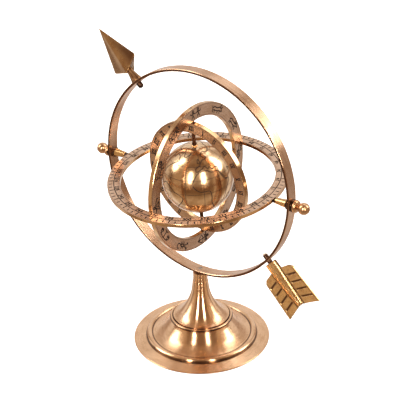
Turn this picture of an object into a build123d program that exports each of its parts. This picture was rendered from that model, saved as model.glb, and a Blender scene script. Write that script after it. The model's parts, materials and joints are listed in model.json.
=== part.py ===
"""Armillary sphere on a spun base: hoop, arrow, three nested rings and a globe.

Units are millimetres. +Z is up, the hoop stands in the XZ plane and the object is
viewed from -Y. The origin is the centre of the resting face under the base.
"""
import math
import os

from build123d import *

os.makedirs("parts", exist_ok=True)

# ---------------------------------------------------------------- base
base_radius = 69.8          # flange, over the rolled edge
sheet = 1.2                 # wall of the spun shell
flange_edge_z = 1.6         # top of the flange at its edge
bead_radius = 53.6          # centre line of the raised bead
bead_roll = 2.5             # roll radius of the bead
bead_z = 5.6                # height of the bead's centre
lip_radius = 31.9           # collar lip round the stem's foot
crown_z = 25.4              # flat the stem stands on
felt_thickness = 1.0
felt_radius = 64.0
recess_radius = 12.0        # for the nut under the base
foot_radius = 28.7          # stem foot
foot_edge = 1.7             # upright edge of the stem foot
neck_radius = 7.3           # stem, at the top
rod_radius = 2.5            # tie rod
rod_clearance = 0.2

# ---------------------------------------------------------------- hoop
hoop_radius = 108.0
hoop_thickness = 2.6
hoop_width = 12.4
hoop_centre_z = 185.9
hoop_bore = hoop_radius - hoop_thickness
saddle_thickness = 1.3      # dark washer between stem and hoop
pivot_z = 183.1             # pivots sit a little below the hoop's centre

# ---------------------------------------------------------------- arrow
arrow_slope = -44.7         # degrees from +X, head up to the left
arrow_offset = 8.7          # arrow line above the hoop's centre line
head_length = 52.3          # tip to ridge foot
head_half_width = 18.4
head_half_depth = 5.8
head_shoulder = 43.3        # tip to the side corners
ferrule_neck = 3.3
ferrule_mouth = 5.3
stud_radius = 1.5
head_nut_radius = 2.8
head_nut_length = 6.0
tail_start = 110.2          # along the arrow line, from the middle
tail_end = 160.0
tail_sweep = 6.2            # how far the fin tips reach past the shaft
tail_neck_half = 7.2
fin_root_half = 8.4
fin_top_half = 21.3
fin_tip_half = 23.2
fin_half_thickness = 1.3
keel_half_height = 3.1
keel_bevel = 35.0          # degrees, sides of the keel
keel_end_half = 4.4
rod_on_keel = 3.5
fin_grooves = 4
fin_groove_pitch = 8.1
fin_groove_depth = 0.45
tail_nut_radius = 2.5
tail_nut_length = 4.2

# ---------------------------------------------------------------- pivots
journal_clearance = 0.05    # radial, running fit of every pivot
journal_radius = 1.0
stud_on_axis = 1.5
finial_radius = 5.75
finial_x = 120.3
collar_radius = 6.2
collar_length = 5.3
outer_washer = 1.6
pivot_nut_half = 4.6        # across the flats, half
pivot_nut_length = 2.9
sleeve_big = 4.1
sleeve_small = 3.0
ring_washer = 2.1
ring_washer_radius = 2.7
end_float = 0.25

# ---------------------------------------------------------------- rings
horizon_outer = 87.9
horizon_inner = 75.3
horizon_thickness = 3.6
horizon_tilt = 5.3          # about the pivot line
horizon_ticks = 90
glyph_outer = 74.5
glyph_inner = 61.3
glyph_thickness = 4.6
glyph_turn = -0.7           # about its pins in the horizon ring
hour_outer = 59.5
hour_inner = 48.8
hour_thickness = 5.0
hour_turn = -3.2            # about the poles
score_width = 0.5           # turned lines and tick marks
score_depth = 0.35
globe_radius = 34.9
globe_wall = 1.5
pole_pin_radius = 1.2
pole_sleeve_radius = 1.8
bushing_radius = 4.0

# ---------------------------------------------------------------- frames
hoop_plane = Plane(origin=(0, 0, hoop_centre_z), x_dir=(1, 0, 0), z_dir=(0, -1, 0))
profile_plane = Plane(origin=(0, 0, 0), x_dir=(1, 0, 0), z_dir=(0, -1, 0))
slope = math.radians(arrow_slope)
arrow_along = Vector(math.cos(slope), 0, math.sin(slope))
arrow_across = Vector(-math.sin(slope), 0, math.cos(slope))
arrow_plane = Plane(
    origin=Vector(0, 0, hoop_centre_z) + arrow_across * arrow_offset,
    x_dir=arrow_along,
    z_dir=(0, -1, 0),
)
arrow_axis = Axis(arrow_plane.origin, arrow_along)
pivot_plane = Plane(origin=(0, 0, pivot_z), x_dir=(1, 0, 0), z_dir=(0, -1, 0))
pivot_axis = Axis((0, 0, pivot_z), (1, 0, 0))
flat = Plane(origin=(0, 0, pivot_z), x_dir=(1, 0, 0), z_dir=(0, 0, 1))


def swung(plane, direction, degrees):
    """The plane turned about a line through its origin."""
    line = Axis(plane.origin, direction)
    return Plane(
        origin=plane.origin,
        x_dir=plane.x_dir.rotate(line, degrees),
        z_dir=plane.z_dir.rotate(line, degrees),
    )


horizon_plane = swung(flat, flat.x_dir, horizon_tilt)
crossing = Plane(
    origin=(0, 0, pivot_z), x_dir=horizon_plane.y_dir, z_dir=horizon_plane.x_dir
)
glyph_plane = swung(crossing, crossing.x_dir, glyph_turn)
facing = Plane(
    origin=(0, 0, pivot_z), x_dir=glyph_plane.z_dir, z_dir=glyph_plane.x_dir * -1
)
hour_plane = swung(facing, facing.y_dir, hour_turn)
# local frames whose X runs along a ring's own pivot line
transit_plane = Plane(
    origin=(0, 0, pivot_z), x_dir=horizon_plane.y_dir, z_dir=horizon_plane.x_dir * -1
)
transit_axis = Axis((0, 0, pivot_z), transit_plane.x_dir)
pole_plane = Plane(origin=(0, 0, pivot_z), x_dir=hour_plane.y_dir, z_dir=hour_plane.z_dir)
pole_axis = Axis((0, 0, pivot_z), pole_plane.x_dir)
upright_axis = Axis((0, 0, 0), (0, 0, 1))


def turned(points, plane, axis):
    """Adds a solid turned from straight profile points given as (along, radius)."""
    with BuildSketch(plane) as profile:
        with BuildLine():
            Polyline(*points, close=True)
        make_face()
    revolve(profile.sketch, axis=axis)


def rod(plane, axis, start, end, radius, chamfer=0.0):
    """Adds a round bar along the plane's X from start to end."""
    c = chamfer
    if c > 0:
        turned(
            [
                (start, 0), (start, radius - c), (start + c, radius),
                (end - c, radius), (end, radius - c), (end, 0),
            ],
            plane,
            axis,
        )
    else:
        turned([(start, 0), (start, radius), (end, radius), (end, 0)], plane, axis)


def bored(plane, axis, start, end, radius):
    """Cuts a round hole along the plane's X from start to end."""
    with BuildSketch(plane) as profile:
        with Locations(((start + end) / 2, radius / 2)):
            Rectangle(abs(end - start), radius)
    revolve(profile.sketch, axis=axis, mode=Mode.SUBTRACT)


def flat_ring(plane, outer, inner, thickness, edge):
    """Adds a flat ring centred on the plane, with softened edges."""
    with BuildSketch(plane.offset(-thickness / 2)) as annulus:
        Circle(outer)
        Circle(inner, mode=Mode.SUBTRACT)
    extrude(annulus.sketch, amount=thickness)
    rims = [e for e in edges() if e.geom_type == GeomType.CIRCLE]
    chamfer(rims, edge)


def inside_seat(reach):
    """Distance from the pivot line's middle at which a flat face meets the bore."""
    drop = hoop_centre_z - pivot_z + reach
    return math.sqrt(hoop_bore**2 - drop**2)


# ================================================================ base
# flange -> bead -> bell step -> collar lip, as one outer profile
bead_in = bead_radius - bead_roll
bead_out = bead_radius + bead_roll
with BuildPart() as base_shell:
    with BuildSketch(profile_plane):
        with BuildLine():
            l1 = Line((base_radius, 0.5), (base_radius, flange_edge_z - 0.3))
            l2 = Line(l1 @ 1, (base_radius - 0.5, flange_edge_z))
            l3 = Line(l2 @ 1, (bead_out + 0.7, bead_z - 1.5))
            l4 = ThreePointArc(
                l3 @ 1,
                (bead_radius, bead_z + bead_roll),
                (bead_in - 0.2, bead_z + 1.1),
            )
            l5 = Spline(
                l4 @ 1,
                (44.0, 9.4),
                (38.6, 13.2),
                (34.6, 18.4),
                (lip_radius - 0.2, crown_z - 2.0),
                tangents=((-1, 0.25), (-0.25, 1)),
            )
            l6 = ThreePointArc(
                l5 @ 1, (lip_radius - 0.5, crown_z + 0.8), (29.9, crown_z + 0.7)
            )
            l7 = Line(l6 @ 1, (29.4, crown_z))
            l8 = Line(l7 @ 1, (rod_radius + rod_clearance, crown_z))
            l9 = Line(l8 @ 1, (rod_radius + rod_clearance, crown_z - sheet))
            l10 = Line(l9 @ 1, (29.3, crown_z - sheet))
            l11 = Spline(
                l10 @ 1,
                (33.4, 17.9),
                (37.7, 12.4),
                (43.6, 8.2),
                (bead_in - 0.6, bead_z + 0.2),
            )
            l12 = Line(l11 @ 1, (bead_out, bead_z - 2.9))
            l13 = Line(l12 @ 1, (base_radius - 1.6, 0.5))
            Line(l13 @ 1, l1 @ 0)
        make_face()
    revolve(axis=upright_axis)
base_shell.part.label = "base_shell"
export_step(base_shell.part, "parts/base_shell.step")

# cast weight, follows the shell loosely and props up the crown
plate_gap = 0.35
ballast_profile = [
    (recess_radius, felt_thickness),
    (felt_radius - 2.0, felt_thickness),
    (felt_radius - 2.0, felt_thickness + 0.5),
    (50.0, 3.4),
    (44.0, 6.6),
    (37.0, 11.2),
    (32.6, 17.0),
    (28.4, crown_z - sheet),
    (rod_radius + rod_clearance, crown_z - sheet),
    (rod_radius + rod_clearance, 10.0),
    (recess_radius, 10.0),
]
with BuildPart() as ballast:
    turned(ballast_profile, profile_plane, upright_axis)
ballast.part.label = "ballast"
export_step(ballast.part, "parts/ballast.step")

with BuildPart() as felt_pad:
    with BuildSketch():
        Circle(felt_radius)
    extrude(amount=felt_thickness)
felt_pad.part.label = "felt_pad"
export_step(felt_pad.part, "parts/felt_pad.step")

hoop_foot_z = hoop_centre_z - hoop_radius
with BuildPart() as tie_rod:
    with BuildSketch():
        Circle(rod_radius)
    extrude(amount=hoop_foot_z + hoop_thickness - 4.0)
    chamfer(edges().filter_by(GeomType.CIRCLE), 0.3)
tie_rod.part.label = "tie_rod"
tie_rod.part.locate(Location((0, 0, 4.0 - 0.05)))
export_step(tie_rod.part, "parts/tie_rod.step")

with BuildPart() as base_washer:
    with BuildSketch(Plane.XY.offset(8.6)):
        Circle(8.0)
        Circle(rod_radius + rod_clearance, mode=Mode.SUBTRACT)
    extrude(amount=1.4)
base_washer.part.label = "base_washer"
export_step(base_washer.part, "parts/base_washer.step")

with BuildPart() as base_nut:
    with BuildSketch(Plane.XY.offset(4.6)):
        RegularPolygon(4.6, 6)
        Circle(rod_radius, mode=Mode.SUBTRACT)
    extrude(amount=4.0)
base_nut.part.label = "base_nut"
export_step(base_nut.part, "parts/base_nut.step")

# hollow flared stem; its top is cut to the saddle washer's underside
stem_top = hoop_foot_z - saddle_thickness
with BuildPart() as stem:
    with BuildSketch(profile_plane):
        with BuildLine():
            s1 = Line((foot_radius - 0.4, crown_z), (foot_radius, crown_z + 0.4))
            s2 = Line(s1 @ 1, (foot_radius, crown_z + foot_edge))
            s3 = Spline(
                s2 @ 1,
                (25.2, 28.6),
                (21.4, 31.6),
                (17.6, 36.6),
                (13.6, 43.2),
                (10.7, 50.5),
                (8.9, 58.5),
                (7.9, 67.0),
                (neck_radius, stem_top),
                tangents=((-1, 0.22), (-0.02, 1)),
            )
            s4 = Line(s3 @ 1, (rod_radius + rod_clearance, stem_top))
            s5 = Line(s4 @ 1, (rod_radius + rod_clearance, 62.0))
            s6 = Spline(
                s5 @ 1,
                (6.4, 56.0),
                (8.8, 49.0),
                (11.8, 42.0),
                (16.0, 35.6),
                (20.4, 30.4),
                (24.6, 27.0),
                (foot_radius - 2.2, crown_z),
            )
            Line(s6 @ 1, s1 @ 0)
        make_face()
    revolve(axis=upright_axis)
stem.part.label = "stem"
export_step(stem.part, "parts/stem.step")

with BuildPart() as saddle_washer:
    with BuildSketch(Plane.XY.offset(stem_top)):
        Circle(5.9)
        Circle(rod_radius + rod_clearance, mode=Mode.SUBTRACT)
    extrude(amount=saddle_thickness + 1.0)
    with BuildSketch(hoop_plane.offset(-20)):
        Circle(hoop_radius)
    extrude(amount=40, mode=Mode.SUBTRACT)
saddle_washer.part.label = "saddle_washer"
export_step(saddle_washer.part, "parts/saddle_washer.step")

# ================================================================ hoop
with BuildPart() as meridian_hoop:
    flat_ring(hoop_plane, hoop_radius, hoop_bore, hoop_width, 0.4)
    with BuildSketch(Plane.XY.offset(hoop_foot_z - 1)):
        Circle(rod_radius)
    extrude(amount=5, mode=Mode.SUBTRACT)
    bored(pivot_plane, pivot_axis, -112, -100, stud_on_axis)
    bored(pivot_plane, pivot_axis, 100, 112, stud_on_axis)
    bored(arrow_plane, arrow_axis, -112, -100, stud_radius)
    bored(arrow_plane, arrow_axis, 100, 112, stud_radius)
meridian_hoop.part.label = "meridian_hoop"
export_step(meridian_hoop.part, "parts/meridian_hoop.step")


def trim_to_hoop(radius):
    """Shapes the end of the current piece to the outside of the hoop."""
    with BuildSketch(hoop_plane.offset(30)) as disc:
        Circle(radius)
    extrude(disc.sketch, amount=-60, mode=Mode.SUBTRACT)


# ================================================================ arrow head
tip_at = -170.8
ridge_foot = tip_at + head_length
shoulder = tip_at + head_shoulder


def arrow_point(along, across, toward):
    return (
        arrow_plane.origin + arrow_along * along + arrow_across * across
        + Vector(0, -toward, 0)
    )


head_corners = [
    arrow_point(tip_at, 0, 0),
    arrow_point(shoulder, head_half_width, 0),
    arrow_point(ridge_foot, 0, head_half_depth),
    arrow_point(shoulder, -head_half_width, 0),
    arrow_point(ridge_foot, 0, -head_half_depth),
]
head_faces = [(0, 1, 2), (0, 2, 3), (0, 3, 4), (0, 4, 1), (1, 4, 2), (3, 2, 4)]
with BuildPart() as arrow_head:
    shell_faces = []
    for trio in head_faces:
        loop = Wire.make_polygon([head_corners[i] for i in trio], close=True)
        shell_faces.append(Face(loop))
    add(Solid(Shell(shell_faces)))
    turned(
        [
            (ridge_foot - 6.0, 0), (ridge_foot - 6.0, 2.0),
            (ridge_foot - 1.6, ferrule_neck), (ridge_foot + 1.2, ferrule_neck),
            (ridge_foot + 3.6, ferrule_neck + 0.5), (ridge_foot + 7.0, 4.5),
            (ridge_foot + 9.6, ferrule_mouth), (ridge_foot + 11.2, ferrule_mouth),
            (ridge_foot + 13.0, ferrule_mouth - 0.5), (ridge_foot + 13.0, 0),
        ],
        arrow_plane,
        arrow_axis,
    )
    trim_to_hoop(hoop_radius)
    rod(arrow_plane, arrow_axis, ridge_foot, -101.0, stud_radius, 0.3)
arrow_head.part.label = "arrow_head"
export_step(arrow_head.part, "parts/arrow_head.step")

head_nut_seat = -math.sqrt(hoop_bore**2 - (arrow_offset + head_nut_radius) ** 2)
with BuildPart() as arrow_head_nut:
    with BuildSketch(arrow_plane):
        with BuildLine():
            n1 = Line((head_nut_seat, stud_radius), (head_nut_seat, head_nut_radius))
            dome_from = head_nut_seat + head_nut_length - head_nut_radius
            n2 = Line(n1 @ 1, (dome_from, head_nut_radius))
            n3 = ThreePointArc(
                n2 @ 1,
                (dome_from + head_nut_radius * 0.6, head_nut_radius * 0.8),
                (dome_from + head_nut_radius, 0),
            )
            n4 = Line(n3 @ 1, (-100.9, 0))
            n5 = Line(n4 @ 1, (-100.9, stud_radius))
            Line(n5 @ 1, n1 @ 0)
        make_face()
    revolve(axis=arrow_axis)
arrow_head_nut.part.label = "arrow_head_nut"
export_step(arrow_head_nut.part, "parts/arrow_head_nut.step")

# ================================================================ arrow tail
fin_root = tail_start + 9.0
fin_top = fin_root + 4.6


def mirrored_outline(points):
    """Closed outline from the points above the arrow line and their mirror images."""
    return points + [(x, -y) for x, y in reversed(points)]


fin_outline = mirrored_outline(
    [
        (tail_start + 1.0, tail_neck_half - 0.6),
        (fin_root - 1.0, tail_neck_half - 0.4),
        (fin_root + 1.2, fin_root_half + 1.4),
        (fin_top - 1.2, fin_top_half - 1.6),
        (fin_top + 1.0, fin_top_half),
        (tail_end + tail_sweep, fin_tip_half),
        (tail_end + tail_sweep - 0.4, fin_tip_half - 1.6),
        (tail_end + 1.2, 6.4),
        (tail_end, keel_end_half),
    ]
)
keel_outline = mirrored_outline(
    [
        (tail_start, tail_neck_half),
        (fin_root - 0.5, tail_neck_half),
        (tail_end - 0.2, keel_end_half),
    ]
)
with BuildPart() as arrow_tail:
    with BuildSketch(arrow_plane.offset(-fin_half_thickness)):
        with BuildLine():
            Polyline(*fin_outline, close=True)
        make_face()
    extrude(amount=2 * fin_half_thickness)
    with BuildSketch(arrow_plane) as keel_middle:
        with BuildLine():
            Polyline(*keel_outline, close=True)
        make_face()
    extrude(keel_middle.sketch, amount=keel_half_height, taper=keel_bevel)
    extrude(keel_middle.sketch, amount=-keel_half_height, taper=keel_bevel)
    rod(arrow_plane, arrow_axis, tail_start, tail_end - 0.3, rod_on_keel, 0.4)
    groove_count = range(fin_grooves)
    for side in (1, -1):
        for face in (1, -1):
            level = face * fin_half_thickness
            for i in groove_count:
                x0 = fin_top + 4.6 + i * fin_groove_pitch
                inner = (x0, side * 6.4)
                outer = (x0 + 4.2, side * (fin_top_half - 1.0))
                with BuildSketch(arrow_plane.offset(level - fin_groove_depth)):
                    with BuildLine():
                        Polyline(
                            (inner[0] - 0.45, inner[1]),
                            (inner[0] + 0.45, inner[1]),
                            (outer[0] + 0.45, outer[1]),
                            (outer[0] - 0.45, outer[1]),
                            close=True,
                        )
                    make_face()
                extrude(amount=2 * fin_groove_depth, mode=Mode.SUBTRACT)
    bored(arrow_plane, arrow_axis, tail_start - 1, tail_start + 9, stud_radius)
arrow_tail.part.label = "arrow_tail"
export_step(arrow_tail.part, "parts/arrow_tail.step")

hoop_cross = math.sqrt(hoop_radius**2 - arrow_offset**2)
with BuildPart() as tail_screw:
    rod(arrow_plane, arrow_axis, 99.6, tail_start + 9, stud_radius, 0.3)
tail_screw.part.label = "tail_screw"
export_step(tail_screw.part, "parts/tail_screw.step")

with BuildPart() as tail_washer:
    turned(
        [
            (hoop_cross - 1.0, stud_radius), (hoop_cross - 1.0, 2.6),
            (tail_start - 0.6, 2.6), (tail_start, 2.1), (tail_start, stud_radius),
        ],
        arrow_plane,
        arrow_axis,
    )
    trim_to_hoop(hoop_radius)
tail_washer.part.label = "tail_washer"
export_step(tail_washer.part, "parts/tail_washer.step")

tail_nut_seat = math.sqrt(hoop_bore**2 - (arrow_offset + tail_nut_radius) ** 2)
with BuildPart() as tail_nut:
    turned(
        [
            (tail_nut_seat, stud_radius), (tail_nut_seat, tail_nut_radius),
            (tail_nut_seat - tail_nut_length + 0.4, tail_nut_radius),
            (tail_nut_seat - tail_nut_length, tail_nut_radius - 0.4),
            (tail_nut_seat - tail_nut_length, stud_radius),
        ],
        arrow_plane,
        arrow_axis,
    )
tail_nut.part.label = "tail_nut"
export_step(tail_nut.part, "parts/tail_nut.step")

# ================================================================ horizon pivots
# everything below is laid out along +X and mirrored for the left side
washer_out = hoop_radius + outer_washer
collar_out = washer_out + collar_length
nut_seat = inside_seat(pivot_nut_half * 1.1)
sleeve_out = nut_seat - pivot_nut_length
ring_side = horizon_outer + end_float
sleeve_in = ring_side + ring_washer
journal_tip = 80.0


def side_finial(s):
    centre = s * finial_x
    with BuildSketch(pivot_plane) as profile:
        with Locations((centre, 0)):
            Circle(finial_radius)
        with Locations((centre - s * finial_radius, 0)):
            Rectangle(2.2, 2 * 2.6)
        with Locations((centre, -finial_radius)):
            Rectangle(4 * finial_radius, 2 * finial_radius, mode=Mode.SUBTRACT)
    revolve(profile.sketch, axis=pivot_axis)
    bored(pivot_plane, pivot_axis, s * 100, s * (finial_x - 1.0), stud_on_axis)


def side_collar(s):
    with BuildSketch(pivot_plane) as profile:
        with BuildLine():
            c1 = Line((s * washer_out, stud_on_axis), (s * washer_out, 4.4))
            c2 = ThreePointArc(
                c1 @ 1,
                (s * (washer_out + collar_length * 0.46), collar_radius),
                (s * (collar_out - 0.9), 3.6),
            )
            c3 = Line(c2 @ 1, (s * (finial_x - finial_radius - 1.1), 2.9))
            c4 = Line(c3 @ 1, (s * (finial_x - finial_radius - 1.1), stud_on_axis))
            Line(c4 @ 1, c1 @ 0)
        make_face()
    revolve(profile.sketch, axis=pivot_axis)


def side_pin(s):
    points = [
        (s * journal_tip, 0), (s * journal_tip, journal_radius - 0.2),
        (s * (journal_tip + 0.2), journal_radius),
        (s * (ring_side + 0.2), journal_radius), (s * (ring_side + 0.2), stud_on_axis),
        (s * (finial_x - 1.4), stud_on_axis), (s * (finial_x - 1.1), stud_on_axis - 0.3),
        (s * (finial_x - 1.1), 0),
    ]
    turned(points, pivot_plane, pivot_axis)


def side_sleeve(s):
    points = [
        (s * sleeve_out, stud_on_axis), (s * sleeve_out, sleeve_big - 0.3),
        (s * (sleeve_out - 0.3), sleeve_big), (s * (sleeve_in + 0.3), sleeve_small),
        (s * sleeve_in, sleeve_small - 0.3), (s * sleeve_in, stud_on_axis),
    ]
    turned(points, pivot_plane, pivot_axis)


with BuildPart() as finial_left:
    side_finial(-1)
finial_left.part.label = "finial_left"
export_step(finial_left.part, "parts/finial_left.step")

with BuildPart() as finial_right:
    side_finial(1)
finial_right.part.label = "finial_right"
export_step(finial_right.part, "parts/finial_right.step")

with BuildPart() as collar_left:
    side_collar(-1)
collar_left.part.label = "collar_left"
export_step(collar_left.part, "parts/collar_left.step")

with BuildPart() as collar_right:
    side_collar(1)
collar_right.part.label = "collar_right"
export_step(collar_right.part, "parts/collar_right.step")

with BuildPart() as outer_washers:
    for s in (-1, 1):
        turned(
            [
                (s * hoop_radius, stud_on_axis), (s * hoop_radius, collar_radius - 0.2),
                (s * (washer_out - 0.3), collar_radius - 0.2),
                (s * washer_out, collar_radius - 0.5), (s * washer_out, stud_on_axis),
            ],
            pivot_plane,
            pivot_axis,
        )
outer_washers.part.label = "outer_washers"
export_step(outer_washers.part, "parts/outer_washers.step")

with BuildPart() as pivot_pin_left:
    side_pin(-1)
pivot_pin_left.part.label = "pivot_pin_left"
export_step(pivot_pin_left.part, "parts/pivot_pin_left.step")

with BuildPart() as pivot_pin_right:
    side_pin(1)
pivot_pin_right.part.label = "pivot_pin_right"
export_step(pivot_pin_right.part, "parts/pivot_pin_right.step")

with BuildPart() as pivot_nuts:
    for s in (-1, 1):
        face_plane = Plane(
            origin=(s * nut_seat, 0, pivot_z), x_dir=(0, 1, 0), z_dir=(-s, 0, 0)
        )
        with BuildSketch(face_plane):
            RegularPolygon(pivot_nut_half * 1.1, 6)
            Circle(stud_on_axis, mode=Mode.SUBTRACT)
        extrude(amount=pivot_nut_length)
pivot_nuts.part.label = "pivot_nuts"
export_step(pivot_nuts.part, "parts/pivot_nuts.step")

with BuildPart() as pivot_sleeve_left:
    side_sleeve(-1)
pivot_sleeve_left.part.label = "pivot_sleeve_left"
export_step(pivot_sleeve_left.part, "parts/pivot_sleeve_left.step")

with BuildPart() as pivot_sleeve_right:
    side_sleeve(1)
pivot_sleeve_right.part.label = "pivot_sleeve_right"
export_step(pivot_sleeve_right.part, "parts/pivot_sleeve_right.step")

with BuildPart() as ring_washers:
    for s in (-1, 1):
        turned(
            [
                (s * sleeve_in, stud_on_axis), (s * sleeve_in, ring_washer_radius),
                (s * (ring_side + 0.3), ring_washer_radius),
                (s * ring_side, ring_washer_radius - 0.3), (s * ring_side, stud_on_axis),
            ],
            pivot_plane,
            pivot_axis,
        )
ring_washers.part.label = "ring_washers"
export_step(ring_washers.part, "parts/ring_washers.step")

# ================================================================ rings
running = journal_radius + journal_clearance
horizon_line = 81.3
with BuildPart() as horizon_ring:
    flat_ring(horizon_plane, horizon_outer, horizon_inner, horizon_thickness, 0.3)
    with BuildSketch(horizon_plane.offset(horizon_thickness / 2 - score_depth)):
        Circle(horizon_line + score_width / 2)
        Circle(horizon_line - score_width / 2, mode=Mode.SUBTRACT)
        with PolarLocations(84.5, horizon_ticks):
            Rectangle(3.8, score_width)
    extrude(amount=2 * score_depth, mode=Mode.SUBTRACT)
    bored(pivot_plane, pivot_axis, -92, -journal_tip + 0.4, running)
    bored(pivot_plane, pivot_axis, journal_tip - 0.4, 92, running)
    bored(transit_plane, transit_axis, -92, -70, running)
    bored(transit_plane, transit_axis, 70, 92, running)
horizon_ring.part.label = "horizon_ring"
export_step(horizon_ring.part, "parts/horizon_ring.step")

with BuildPart() as transit_pins:
    for s in (-1, 1):
        turned(
            [
                (s * 66.6, 0), (s * 66.6, journal_radius - 0.2),
                (s * 66.8, journal_radius), (s * (horizon_outer - 0.5), journal_radius),
                (s * (horizon_outer - 0.3), journal_radius - 0.2),
                (s * (horizon_outer - 0.3), 0),
            ],
            transit_plane,
            transit_axis,
        )
transit_pins.part.label = "transit_pins"
export_step(transit_pins.part, "parts/transit_pins.step")

transit_gap = horizon_inner - glyph_outer
with BuildPart() as transit_spacers:
    for s in (-1, 1):
        turned(
            [
                (s * glyph_outer, journal_radius),
                (s * glyph_outer, 1.7),
                (s * (horizon_inner - 0.3), 1.7),
                (s * (horizon_inner - 0.3), journal_radius),
            ],
            transit_plane,
            transit_axis,
        )
transit_spacers.part.label = "transit_spacers"
export_step(transit_spacers.part, "parts/transit_spacers.step")

pole_running = pole_pin_radius + journal_clearance
with BuildPart() as glyph_ring:
    flat_ring(glyph_plane, glyph_outer, glyph_inner, glyph_thickness, 0.35)
    for face in (1, -1):
        level = face * glyph_thickness / 2
        with BuildSketch(glyph_plane.offset(level - score_depth)):
            for r in (glyph_inner + 1.3, glyph_outer - 1.3):
                Circle(r + 0.2)
                Circle(r - 0.2, mode=Mode.SUBTRACT)
        extrude(amount=2 * score_depth, mode=Mode.SUBTRACT)
    bored(transit_plane, transit_axis, -80, -66.4, journal_radius)
    bored(transit_plane, transit_axis, 66.4, 80, journal_radius)
    bored(pole_plane, pole_axis, -80, -58, pole_running)
    bored(pole_plane, pole_axis, 58, 80, pole_running)
glyph_ring.part.label = "glyph_ring"
export_step(glyph_ring.part, "parts/glyph_ring.step")

with BuildPart() as hour_ring:
    flat_ring(hour_plane, hour_outer, hour_inner, hour_thickness, 0.35)
    for face in (1, -1):
        level = face * hour_thickness / 2
        with BuildSketch(hour_plane.offset(level - score_depth)):
            for r in (hour_inner + 1.2, hour_outer - 1.2):
                Circle(r + 0.2)
                Circle(r - 0.2, mode=Mode.SUBTRACT)
        extrude(amount=2 * score_depth, mode=Mode.SUBTRACT)
    bored(pole_plane, pole_axis, -62, -46, pole_pin_radius)
    bored(pole_plane, pole_axis, 46, 62, pole_pin_radius)
hour_ring.part.label = "hour_ring"
export_step(hour_ring.part, "parts/hour_ring.step")

pin_inner = globe_radius - 5.5
with BuildPart() as pole_pins:
    for s in (-1, 1):
        turned(
            [
                (s * pin_inner, 0), (s * pin_inner, pole_pin_radius - 0.2),
                (s * (pin_inner + 0.2), pole_pin_radius),
                (s * (glyph_outer - 0.6), pole_pin_radius),
                (s * (glyph_outer - 0.4), pole_pin_radius - 0.2),
                (s * (glyph_outer - 0.4), 0),
            ],
            pole_plane,
            pole_axis,
        )
pole_pins.part.label = "pole_pins"
export_step(pole_pins.part, "parts/pole_pins.step")

with BuildPart() as pole_spacers:
    for s in (-1, 1):
        turned(
            [
                (s * hour_outer, pole_pin_radius),
                (s * hour_outer, 2.2),
                (s * (glyph_inner - 0.3), 2.2),
                (s * (glyph_inner - 0.3), pole_pin_radius),
            ],
            pole_plane,
            pole_axis,
        )
pole_spacers.part.label = "pole_spacers"
export_step(pole_spacers.part, "parts/pole_spacers.step")

# ================================================================ globe
collar_face = globe_radius + 1.0
sleeve_start = collar_face + 0.25
with BuildPart() as pole_sleeves:
    for s in (-1, 1):
        turned(
            [
                (s * sleeve_start, pole_pin_radius), (s * sleeve_start, 2.3),
                (s * (sleeve_start + 1.4), 2.3),
                (s * (sleeve_start + 1.6), pole_sleeve_radius),
                (s * (hour_inner - 0.05), pole_sleeve_radius),
                (s * (hour_inner - 0.05), pole_pin_radius),
            ],
            pole_plane,
            pole_axis,
        )
pole_sleeves.part.label = "pole_sleeves"
export_step(pole_sleeves.part, "parts/pole_sleeves.step")

bushing_seat = math.sqrt(globe_radius**2 - bushing_radius**2) - 0.2
globe_core = globe_radius - globe_wall


def half_shell(s):
    """One spun half of the globe, open at the seam and bored at its pole."""
    seam = 0.0
    tip = bushing_radius - 1.2
    out_x = math.sqrt(globe_radius**2 - tip**2)
    in_x = math.sqrt(globe_core**2 - tip**2)
    half = math.sqrt(0.5)
    with BuildSketch(pole_plane) as profile:
        with BuildLine():
            g1 = Line((seam, globe_core), (seam, globe_radius))
            g2 = ThreePointArc(
                g1 @ 1,
                (s * globe_radius * half, globe_radius * half),
                (s * out_x, tip),
            )
            g3 = Line(g2 @ 1, (s * in_x, tip))
            ThreePointArc(g3 @ 1, (s * globe_core * half, globe_core * half), g1 @ 0)
        make_face()
    revolve(profile.sketch, axis=pole_axis)


with BuildPart() as globe_south:
    half_shell(-1)
globe_south.part.label = "globe_south"
export_step(globe_south.part, "parts/globe_south.step")

with BuildPart() as globe_north:
    half_shell(1)
globe_north.part.label = "globe_north"
export_step(globe_north.part, "parts/globe_north.step")

bushing_body = bushing_radius - 1.2
with BuildPart() as globe_bushings:
    for s in (-1, 1):
        turned(
            [
                (s * (globe_radius - 5.0), pole_running),
                (s * (globe_radius - 5.0), bushing_body),
                (s * (globe_radius - 0.05), bushing_body),
                (s * (globe_radius - 0.05), 3.1),
                (s * (collar_face - 0.3), 3.1),
                (s * collar_face, 2.8),
                (s * collar_face, pole_running),
            ],
            pole_plane,
            pole_axis,
        )
globe_bushings.part.label = "globe_bushings"
export_step(globe_bushings.part, "parts/globe_bushings.step")
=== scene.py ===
"""Armillary sphere: finishes, engraved rings and globe, and a pale studio around the CAD frame."""

import json
import math

import bmesh
import bpy
from mathutils import Matrix, Vector


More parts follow.
